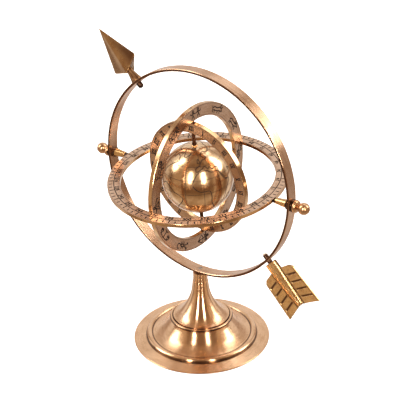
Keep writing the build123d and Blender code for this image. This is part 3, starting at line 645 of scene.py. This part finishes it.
def place(target, x_dir, z_dir, body, replaced):
    """Puts a ring drawn about its own Z into the frame, on its body."""
    y_dir = z_dir.cross(x_dir)
    turn = Matrix((x_dir, y_dir, z_dir)).transposed().to_4x4()
    target.matrix_world = Matrix.Translation(pivot) @ turn
    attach(target, body)
    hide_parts(*replaced)


def bore(cutter, angle, radius, start, end):
    """A round radial bar from start to end, measured from a ring's centre."""
    out = Vector((math.cos(angle), math.sin(angle), 0))
    across = Vector((-out.y, out.x, 0))
    base = len(cutter.vertices)
    count = BORE_SIDES
    for r in (start, end):
        for k in range(count):
            t = 2 * math.pi * k / count
            cutter.vertices.append(out * r + across * (radius * math.cos(t))
                                   + Vector((0, 0, radius * math.sin(t))))
    for k in range(count):
        m = (k + 1) % count
        cutter.faces.append((base + k, base + m, base + count + m, base + count + k))
    cutter.faces.append(tuple(base + count - 1 - k for k in range(count)))
    cutter.faces.append(tuple(base + count + k for k in range(count)))


# ---------------------------------------------------------------- horizon ring
HORIZON = {"outer": 87.9, "inner": 75.3, "thick": 3.6, "edge": 0.3}
SCALE_CIRCLES = ((81.3, 0.85, ENGRAVE_DEPTH), (87.0, 0.22, 0.2), (76.1, 0.22, 0.2))
TICKS = 90
TICK_WIDE = 1.2
TICK_LONG_FROM, TICK_SHORT_FROM, TICK_TO = 81.9, 83.2, 86.3
NUMBERS = 30
NUMBER_STEP = 12
NUMBER_SHIFT = 10.7
NUMBER_RADIUS = 78.6
DIGIT_SIZE = 1.95
DIGIT_PITCH = DIGIT_SIZE * 1.45
DIGIT_LINE = 0.9

horizon = revolved("horizon_engraved", ring_profile(**HORIZON), RING_STEPS,
                   [ring_metal, ring_patina, ring_rim])
top = HORIZON["thick"] / 2
up = Vector((0, 0, 1))
lines = Cutter()
for radius, width, depth in SCALE_CIRCLES:
    circle_cut(lines, radius, top, width, depth)
for i in range(TICKS):
    a = 2 * math.pi * i / TICKS
    out = Vector((math.cos(a), math.sin(a), 0))
    tick_from = TICK_LONG_FROM if i % 3 == 0 else TICK_SHORT_FROM
    ends = [out * tick_from + up * top, out * TICK_TO + up * top]
    lines.stroke(ends, [up, up], TICK_WIDE, ENGRAVE_DEPTH)
lines.cut(horizon, ring_patina)
drill(horizon, ((0, 1.05, 79.6), (90, 1.05, 70), (180, 1.05, 79.6), (270, 1.05, 70)), 92)
numbers = Cutter()
for i in range(NUMBERS):
    text = str(NUMBER_STEP * (i + 1))
    a = math.radians(NUMBER_STEP * i + NUMBER_SHIFT)
    for k, character in enumerate(text):
        shift = (k - (len(text) - 1) / 2) * DIGIT_PITCH
        strokes = [[((x - 0.5) * DIGIT_SIZE + shift, (y - 0.8) * DIGIT_SIZE) for x, y in s]
                   for s in DIGITS[character]]
        figure(numbers, strokes, a, NUMBER_RADIUS, top, DIGIT_LINE, ENGRAVE_DEPTH, inward=True)
numbers.cut(horizon, ring_patina, True)
true_normals(horizon, ring_rule, RIM_SLOT)
place(horizon, Vector((1, 0, 0)), horizon_normal, "horizon", ("horizon_ring",))

# ---------------------------------------------------------------- glyph ring
GLYPHS = {"outer": 74.5, "inner": 61.3, "thick": 4.6, "edge": 0.35}
DRAWING_WIDER, DRAWING_TALLER = 1.5, 1.26
DRAWING_RADIUS = 67.9
DRAWING_LINE = 1.15
FIRST_DRAWING = 27

glyph = revolved("glyph_engraved", ring_profile(**GLYPHS), RING_STEPS,
                 [ring_metal, ring_patina, ring_rim])
top = GLYPHS["thick"] / 2
edge_circles(glyph, (62.6, 73.2), top)
drill(glyph, ((0, 1.0, 56), (90, 1.25, 56), (180, 1.0, 56), (270, 1.25, 56)), 80)
drawn = Cutter()
for i, drawing in enumerate(DRAWINGS):
    strokes = [[(x * DRAWING_WIDER, y * DRAWING_TALLER) for x, y in s] for s in drawing]
    a = math.radians(FIRST_DRAWING + 30 * i)
    for back in (False, True):
        figure(drawn, strokes, a, DRAWING_RADIUS, top, DRAWING_LINE, ENGRAVE_DEPTH, back=back)
drawn.cut(glyph, ring_patina, True)
true_normals(glyph, ring_rule, RIM_SLOT)
glyph_normal = transit_dir.cross(pole_dir).normalized()
place(glyph, transit_dir, glyph_normal, "glyphs", ("glyph_ring",))

# ---------------------------------------------------------------- hour ring
HOURS = {"outer": 59.5, "inner": 48.8, "thick": 5.0, "edge": 0.35}
HOUR_TURN = math.radians(-3.2)
NUMERAL_HALF = 2.3
NUMERAL_SPREAD = 0.36
NUMERAL_RADIUS = 54.15
NUMERAL_LINE = 1.0


def numeral_strokes(numeral):
    """Strokes of a Roman numeral between its upper and lower bars."""
    total = sum(NUMERAL_WIDTH[c] for c in numeral)
    x = -total / 2
    h = NUMERAL_HALF
    strokes = []
    for c in numeral:
        w = NUMERAL_WIDTH[c]
        m = x + w / 2
        left, right = m - w * NUMERAL_SPREAD, m + w * NUMERAL_SPREAD
        if c == "I":
            strokes.append([(m, -h), (m, h)])
        elif c == "V":
            strokes += [[(left, h), (m, -h)], [(m, -h), (right, h)]]
        else:
            strokes += [[(left, h), (right, -h)], [(left, -h), (right, h)]]
        x += w
    return strokes + [[(-total / 2, h), (total / 2, h)], [(-total / 2, -h), (total / 2, -h)]]


hours = revolved("hour_engraved", ring_profile(**HOURS), RING_STEPS,
                 [ring_metal, ring_patina, ring_rim])
top = HOURS["thick"] / 2
edge_circles(hours, (50.0, 58.3), top)
drawn = Cutter()
for i, numeral in enumerate(NUMERALS * 2):
    a = math.radians(90 - 15 * i)
    for back in (False, True):
        figure(drawn, numeral_strokes(numeral), a, NUMERAL_RADIUS, top, NUMERAL_LINE,
               ENGRAVE_DEPTH, back=back)
drawn.cut(hours, ring_patina, True)
drill(hours, ((90, 1.2, 46), (270, 1.2, 46)), 62)
true_normals(hours, ring_rule, RIM_SLOT)
swing = Matrix.Rotation(HOUR_TURN, 3, pole_dir)
hour_normal = swing @ (-transit_dir)
place(hours, pole_dir.cross(hour_normal), hour_normal, "hours", ("hour_ring",))

# ---------------------------------------------------------------- globe
GLOBE = 34.9
GLOBE_WALL = 1.5
GLOBE_BORE = 2.8
OUTER_ROWS, INNER_ROWS = 72, 24
GLOBE_STEPS = 144
COAST_WIDE, SHORE_WIDE, COAST_DEEP = 0.8, 0.7, 0.3
GRID_WIDE, GRID_DEEP = 0.36, 0.2

bore_angle = math.asin(GLOBE_BORE / GLOBE)
outer_arc = [(GLOBE * math.sin(t), GLOBE * math.cos(t))
             for t in (bore_angle + (math.pi - 2 * bore_angle) * i / OUTER_ROWS
                       for i in range(OUTER_ROWS + 1))]
core = GLOBE - GLOBE_WALL
inner_arc = [(core * math.sin(t), core * math.cos(t))
             for t in (math.pi - bore_angle - (math.pi - 2 * bore_angle) * i / INNER_ROWS
                       for i in range(INNER_ROWS + 1))]
ball = revolved("globe_engraved", outer_arc + inner_arc, GLOBE_STEPS, [globe_metal, globe_patina])


def on_globe(longitude, latitude):
    """Unit direction of a place on the globe, given in degrees."""
    a, b = math.radians(longitude), math.radians(latitude)
    return Vector((math.cos(b) * math.cos(a), math.cos(b) * math.sin(a), math.sin(b)))


def globe_line(cutter, points, width, depth, closed=False):
    """A bar along places on the globe."""
    normals = [on_globe(*p) for p in points]
    cutter.stroke([n * GLOBE for n in normals], normals, width, depth, closed)


# simplified outlines of the lands as (longitude, latitude)
LANDS = (
    # Africa
    [(-17, 15), (-13, 27), (-6, 35), (10, 37), (20, 32), (32, 31), (36, 22), (43, 12), (51, 11),
     (41, -3), (39, -12), (35, -24), (28, -33), (19, -34), (12, -18), (12, -6), (9, 4), (-6, 5)],
    # Europe and Asia
    [(-9, 37), (-9, 43), (-1, 46), (3, 51), (9, 55), (18, 56), (24, 60), (16, 59), (10, 63),
     (22, 70), (40, 67), (60, 69), (80, 73), (105, 76), (135, 72), (160, 70), (178, 66),
     (164, 60), (158, 53), (142, 59), (136, 52), (128, 40), (121, 37), (121, 29), (110, 20),
     (106, 10), (103, 3), (98, 14), (90, 22), (80, 12), (76, 11), (72, 20), (60, 25), (56, 27),
     (57, 20), (45, 13), (40, 20), (34, 30), (36, 37), (27, 38), (23, 37), (19, 42), (15, 39),
     (9, 44), (1, 40)],
    # North America
    [(-166, 66), (-150, 70), (-125, 70), (-100, 68), (-85, 69), (-93, 60), (-80, 54), (-77, 61),
     (-64, 60), (-56, 52), (-66, 46), (-74, 40), (-81, 31), (-80, 26), (-90, 30), (-97, 26),
     (-94, 18), (-87, 20), (-83, 10), (-80, 8), (-93, 15), (-105, 20), (-113, 29), (-122, 36),
     (-124, 47), (-135, 57), (-152, 60), (-163, 58)],
    # South America
    [(-77, 8), (-70, 12), (-60, 8), (-50, 1), (-36, -6), (-39, -16), (-48, -26), (-57, -36),
     (-65, -42), (-69, -52), (-74, -49), (-72, -32), (-71, -18), (-80, -5)],
    # Australia
    [(114, -22), (122, -18), (130, -12), (136, -12), (140, -17), (143, -11), (149, -21),
     (153, -29), (148, -38), (138, -34), (130, -32), (116, -34)],
    # Greenland
    [(-70, 77), (-40, 82), (-20, 78), (-24, 70), (-43, 60), (-53, 68)],
    # islands
    [(44, -24), (44, -16), (50, -15), (47, -24)],
    [(-5, 51), (-4, 58), (1, 52)],
    [(132, 34), (141, 41), (140, 35)],
    [(96, 5), (104, -5), (101, 0)],
    [(110, 1), (117, 6), (117, -3)],
    [(132, -2), (146, -8), (138, -3)],
    [(173, -41), (178, -38), (170, -45)],
)
coast = Cutter()
for land in LANDS:
    globe_line(coast, [tuple(p) for p in smooth_points(land, 4, True)],
               COAST_WIDE, COAST_DEEP, True)
shore = [(lon, -70 + 4 * math.sin(math.radians(lon * 3)) + 2 * math.sin(math.radians(lon * 7)))
         for lon in range(-180, 180, 4)]
globe_line(coast, shore, SHORE_WIDE, COAST_DEEP, True)
coast.cut(ball, globe_patina, True)
grid = Cutter()
for latitude in (-45, -23, 0, 23, 45, 66):
    globe_line(grid, [(lon, latitude) for lon in range(-180, 180, 3)], GRID_WIDE,
               GRID_DEEP, True)
grid.cut(ball, globe_patina)
grid = Cutter()
for longitude in range(-180, 180, 30):
    globe_line(grid, [(longitude, lat) for lat in range(-80, 81, 4)], GRID_WIDE,
               GRID_DEEP)
grid.cut(ball, globe_patina)


def ball_rule(face, at):
    """Exact normal of the globe's outer or inner face, flat in its bores."""
    outward = at.normalized()
    if face.normal.dot(outward) > 0.5:
        return outward
    if face.normal.dot(outward) < -0.5:
        return -outward
    return face.normal


true_normals(ball, ball_rule)
FACING_LONGITUDE = math.radians(-8)
spin = (toward - pole_dir * toward.dot(pole_dir)).normalized()
ball_x = Matrix.Rotation(-FACING_LONGITUDE, 3, pole_dir) @ spin
place(ball, ball_x, pole_dir, "globe", ("globe_north", "globe_south"))

# ---------------------------------------------------------------- arrow
ARROW_SLOPE = math.radians(-44.7)
ARROW_OFFSET = 8.7
arrow_along = Vector((math.cos(ARROW_SLOPE), 0, math.sin(ARROW_SLOPE)))
arrow_across = Vector((-math.sin(ARROW_SLOPE), 0, math.cos(ARROW_SLOPE)))
arrow_origin = hoop_centre / MM + arrow_across * ARROW_OFFSET


def arrow_at(along, across, depth):
    """Point in the arrow's own directions, in millimetres."""
    return arrow_origin + arrow_along * along + arrow_across * across - Vector((0, depth, 0))


def ease(value, low, high):
    """Smooth step from 0 at low to 1 at high."""
    t = max(0.0, min(1.0, (value - low) / (high - low)))
    return t * t * (3 - 2 * t)


class Skin:
    """Collects closed tubes of sections into one mesh, with a patina value per vertex; on the arrow head
    that value also carries painted shade.
    """

    def __init__(self):
        self.vertices, self.faces, self.patina = [], [], []

    def tube(self, sections):
        """Each section is a loop of (point, patina); the ends are closed."""
        base = len(self.vertices)
        count = len(sections[0])
        for section in sections:
            for point, stain in section:
                self.vertices.append(point)
                self.patina.append(stain)
        for i in range(len(sections) - 1):
            a, b = base + i * count, base + (i + 1) * count
            for k in range(count):
                m = (k + 1) % count
                self.faces.append((a + k, a + m, b + m, b + k))
        last = base + (len(sections) - 1) * count
        self.faces.append(tuple(base + count - 1 - k for k in range(count)))
        self.faces.append(tuple(last + k for k in range(count)))

    def finish(self, name, material, angle, replaced):
        """Makes the piece on the stand; edges sharper than angle stay sharp."""
        made = object_from(name, self.vertices, self.faces, [material])
        fix = bmesh.new()
        fix.from_mesh(made.data)
        bmesh.ops.recalc_face_normals(fix, faces=fix.faces)
        fix.to_mesh(made.data)
        fix.free()
        stain = made.data.attributes.new("patina", "FLOAT", "POINT")
        stain.data.foreach_set("value", self.patina)
        made.data.polygons.foreach_set("use_smooth", [True] * len(made.data.polygons))
        made.data.set_sharp_from_angle(angle=math.radians(angle))
        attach(made, "stand")
        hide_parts(*replaced)


TAIL_START = 110.2
TAIL_END = 160.0
NECK_END = 118.7
NECK_HALF = 7.2
KEEL_END_HALF = 4.4
KEEL_EDGE = 0.9
KEEL_TOP = 3.35
KEEL_CREST = 0.35
KEEL_POINTS = 28


def keel_half(along):
    """Half width of the keel, which narrows towards its end."""
    t = max(0.0, (along - NECK_END) / (TAIL_END - NECK_END))
    return NECK_HALF + (KEEL_END_HALF - NECK_HALF) * t


tail = Skin()
sections = []
stations = [(0.0, 0.86), (0.25, 0.95), (0.7, 1.0)] + [(1.0 + i * 1.2, 1.0) for i in range(40)]
stations += [(49.0, 0.98), (49.5, 0.93), (49.8, 0.84)]
for step, scale in stations:
    along = TAIL_START + step
    half = keel_half(along)
    loop = []
    for face in (1, -1):
        for k in range(KEEL_POINTS):
            s = -1 + 2 * k / KEEL_POINTS
            rise = (1 - abs(s) ** 2.4) ** 0.75
            crest = KEEL_CREST * ease(abs(s), 0.20, 0.05)
            height = KEEL_EDGE + (KEEL_TOP - KEEL_EDGE - KEEL_CREST) * rise + crest
            valley = 0.35 * ease(abs(s), 0.05, 0.16) * ease(abs(s), 0.34, 0.20)
            stain = max(0.9 * ease(abs(s), 0.82, 0.95), valley)
            loop.append((arrow_at(along, face * s * half * scale, face * height * scale), stain))
    sections.append(loop)
tail.tube(sections)

FIN_START, FIN_TOP, FIN_TIP, FIN_REACH = 119.2, 124.4, 166.2, 160.4
FIN_HALF, FIN_TIP_HALF = 21.3, 23.2
GROOVES = (0.217, 0.414, 0.612, 0.810)
GROOVE_WIDE = 0.034
FIN_STEPS, FIN_ROWS = 176, 26


def fin_point(u, v):
    """Along and across of a fin's sheet; v runs from the keel to the outer edge."""
    front = FIN_START + 3.2 * v + (FIN_TOP - FIN_START - 3.2) * ease(v, 0.84, 1.0)
    rear = FIN_REACH + (FIN_TIP - FIN_REACH) * (v ** 1.15)
    along = front + (rear - front) * u
    inner = keel_half(along) - 0.7
    outer = FIN_HALF + (FIN_TIP_HALF - FIN_HALF) * u - 1.2 * ease(u, 0.03, 0.0)
    return along, inner + (outer - inner) * v


def fin_height(u, v):
    """Half thickness and patina at a place on a fin."""
    groove = 0.0
    for centre in GROOVES:
        away = abs(u - centre) / GROOVE_WIDE
        groove = max(groove, ease(away, 1.0, 0.45))
    groove *= ease(v, 0.09, 0.20) * ease(v, 0.92, 0.84)
    rim = ease(v, 0.86, 0.93)
    root = ease(v, 0.15, 0.07)
    end = ease(u, 0.02, 0.0) + ease(u, 0.985, 1.0)
    pillow = 0.0
    marks = (0.0,) + GROOVES + (1.0,)
    for low, high in zip(marks, marks[1:]):
        if low <= u < high:
            pillow = math.sin(math.pi * (u - low) / (high - low))
    height = 0.92 + 0.20 * pillow * (1 - rim) + 0.34 * rim - 0.62 * groove - 0.2 * end
    edge_line = 0.6 * ease(abs(v - 0.875), 0.03, 0.005)
    return height, min(1.0, max(0.9 * groove, 0.8 * root, edge_line))


for way in (1, -1):
    sections = []
    for i in range(FIN_STEPS + 1):
        u = i / FIN_STEPS
        loop = []
        for face in (1, -1):
            for k in range(FIN_ROWS + 1):
                v = k / FIN_ROWS if face > 0 else 1 - k / FIN_ROWS
                along, across = fin_point(u, v)
                height, stain = fin_height(u, v)
                loop.append((arrow_at(along, way * across, face * height), stain))
        sections.append(loop)
    tail.tube(sections)
tail.finish("arrow_tail_cast", cast, 50, ("arrow_tail",))

# the head: four hollowed faces, a bevelled base and a lobed ferrule
TIP_AT = -170.8
RIDGE_FOOT = -118.5
SHOULDER = -127.5
HEAD_HALF = 18.4
HEAD_DEPTH = 5.8
head = Skin()
HEAD_ROWS = 44
SIDE_STEPS = 12
sections = []
for i in range(HEAD_ROWS + 1):
    t = 0.004 + 0.996 * i / HEAD_ROWS
    loop = []
    for quarter in range(4):
        for k in range(SIDE_STEPS):
            w = k / SIDE_STEPS
            flank = w if quarter % 2 else 1 - w
            far_along = SHOULDER * flank + RIDGE_FOOT * (1 - flank)
            hollow = 1 - 0.10 * math.sin(math.pi * w) ** 2 * ease(t, 0.0, 0.4)
            across = HEAD_HALF * flank * (1 if quarter in (0, 3) else -1) * t
            depth = HEAD_DEPTH * (1 - flank) * (1 if quarter in (0, 1) else -1) * t * hollow
            along = TIP_AT + (far_along - TIP_AT) * t
            round_off = 1 - 0.02 * ease(t, 0.985, 1.0)
            # painted shade: the half of the head with positive across is darkened from the ridge out to the
            # shoulder and towards the base, the other half only slightly; near the tip it is a little
            # darker too
            stain = 0.85 * ease(flank, 0.15, 0.80) * ease(t, 0.15, 0.85) * (
                1 if quarter in (0, 3) else 0.12) + 0.30 * ease(t, 0.12, 0.0)
            stain *= ease(t, 1.0, 0.97)
            loop.append((arrow_at(along, across * round_off, depth * round_off), stain))
    sections.append(loop)
bevel_from = arrow_at(RIDGE_FOOT - 4.0, 0, 0)
sections.append([(bevel_from + (p - bevel_from) * 0.955 + arrow_along * 0.7, 0.0)
                 for p, stain in sections[-1]])
head.tube(sections)
FERRULE = (
    (-6.0, 1.6), (-4.0, 2.6), (-1.6, 3.3), (1.2, 3.3), (3.6, 3.8), (7.0, 4.5), (8.6, 5.0),
    (9.6, 5.3), (10.6, 5.3), (11.4, 5.2),
)
LOBES = 8
LOBE_STEPS = 64
sections = []
for step, radius in FERRULE:
    depth = 0.13 * ease(step, 0.5, 4.0) * ease(step, 9.8, 8.2)
    loop = []
    for k in range(LOBE_STEPS):
        a = 2 * math.pi * k / LOBE_STEPS
        wave = abs(math.cos(a * LOBES / 2))
        r = radius * (1 - depth * (1 - wave))
        spot = arrow_at(RIDGE_FOOT + step, r * math.cos(a), r * math.sin(a))
        loop.append((spot, 0.35 + 0.6 * (1 - wave)))
    sections.append(loop)
head.tube(sections)
head.finish("arrow_head_cast", cast_dark, 28, ("arrow_head",))

# ================================================================ studio
DARK_TENT = (0.24, 0.145, 0.085)
FLANK_TENT = (0.62, 0.47, 0.33)
TABLE_TENT = (0.60, 0.48, 0.36)
WHITE_TENT = (0.90, 0.87, 0.86)
ROOF_TENT = (0.42, 0.31, 0.22)
GAP_TENT = (0.30, 0.17, 0.09)
# panels are (turn from the camera's side, half width, softness, glow), in degrees
STRIPS = ((-25, 2.2, 2.0, 30.0), (20, 2.2, 2.0, 32.0))
STRIP_TINT = (1, 0.95, 0.86)
BOXES = ((-95, 11, 4, 6.0), (99, 11, 4, 6.0))
BOX_TINT = (1, 0.98, 0.94)

world = bpy.data.worlds.new("studio")
bpy.context.scene.world = world
world.use_nodes = True
world.node_tree.nodes.clear()
g = Graph(world.node_tree)
ray = g.add("ShaderNodeTexCoord").outputs["Generated"]
ahead = g.vector("DOT_PRODUCT", ray, tuple(front))
aside = g.vector("DOT_PRODUCT", ray, tuple(side))
turn = g.math("DEGREES", g.math("ARCTAN2", aside, ahead))
either_side = g.math("ABSOLUTE", turn)
lift = g.math("DEGREES", g.math("ARCSINE", g.split(ray)[2]))


def panels(tent, places, span, tint):
    """Lays bright panels over the tent, between the heights that span lets through."""
    for centre, half, soft, glow in places:
        stripe = g.math("MULTIPLY", band(g, turn, centre, half, soft), span)
        tent = g.mix(stripe, tent, tuple(glow * part for part in tint))
    return tent


flank = g.math("MULTIPLY", band(g, either_side, 68, 12, 10), 0.9)
tent = g.mix(flank, DARK_TENT, FLANK_TENT)
tent = g.mix(g.remap(lift, -26, -50), tent, TABLE_TENT)
tent = g.mix(g.remap(either_side, 100, 116), tent, WHITE_TENT)
tent = g.mix(g.remap(lift, 60, 78), tent, ROOF_TENT)
strip_span = g.math("MULTIPLY", g.remap(lift, 2, 9), g.remap(lift, 40, 32))
tent = panels(tent, STRIPS, strip_span, STRIP_TINT)
box_span = g.math("MULTIPLY", g.remap(lift, 18, 26), g.remap(lift, 62, 54))
tent = panels(tent, BOXES, box_span, BOX_TINT)
gap = g.math("MULTIPLY", band(g, either_side, 140, 7, 6), 0.6)
tent = g.mix(gap, tent, GAP_TENT)
seen = g.add("ShaderNodeLightPath").outputs["Is Camera Ray"]
tent = g.mix(seen, tent, (1.0, 1.0, 1.0))
background = g.add("ShaderNodeBackground")
g.put(background.inputs["Color"], tent)
output = g.add("ShaderNodeOutputWorld")
world.node_tree.links.new(background.outputs[0], output.inputs[0])

LIGHT_AIM = Vector((0, 0, 0.12))


def softbox(name, turn, height, distance, width, tall, power):
    """An area light facing the object; turn is measured from the camera's side, to the right."""
    a = math.radians(turn)
    data = bpy.data.lights.new(name, "AREA")
    data.shape = "RECTANGLE"
    data.size = width
    data.size_y = tall
    data.energy = power
    light = bpy.data.objects.new(name, data)
    bpy.context.scene.collection.objects.link(light)
    light.location = (front * math.cos(a) + side * math.sin(a)) * distance
    light.location.z = height
    aim = LIGHT_AIM - light.location
    light.rotation_mode = "QUATERNION"
    light.rotation_quaternion = aim.to_track_quat("-Z", "Y")
    light.visible_camera = False


softbox("box_left", -95, 0.60, 1.0, 0.26, 0.30, 1.2)
softbox("box_right", 93, 0.64, 1.0, 0.26, 0.30, 1.2)
softbox("top", 150, 1.10, 0.5, 0.5, 0.4, 1.0)

FLOOR_HALF = 3.0
FLOOR_GLOW = 0.6
floor_mesh = bpy.data.meshes.new("floor")
floor_edit = bmesh.new()
bmesh.ops.create_grid(floor_edit, x_segments=8, y_segments=8, size=FLOOR_HALF)
floor_edit.to_mesh(floor_mesh)
floor_edit.free()
floor = bpy.data.objects.new("floor", floor_mesh)
bpy.context.scene.collection.objects.link(floor)
paper = bpy.data.materials.new("paper")
paper.use_nodes = True
paper_shader = paper.node_tree.nodes["Principled BSDF"]
paper_shader.inputs["Base Color"].default_value = (0.9, 0.9, 0.9, 1)
paper_shader.inputs["Roughness"].default_value = 0.9
paper_shader.inputs["Emission Color"].default_value = (1, 1, 1, 1)
paper_shader.inputs["Emission Strength"].default_value = FLOOR_GLOW
floor_mesh.materials.append(paper)
floor.visible_glossy = False
floor.visible_shadow = False

bpy.context.scene.view_settings.view_transform = "Standard"
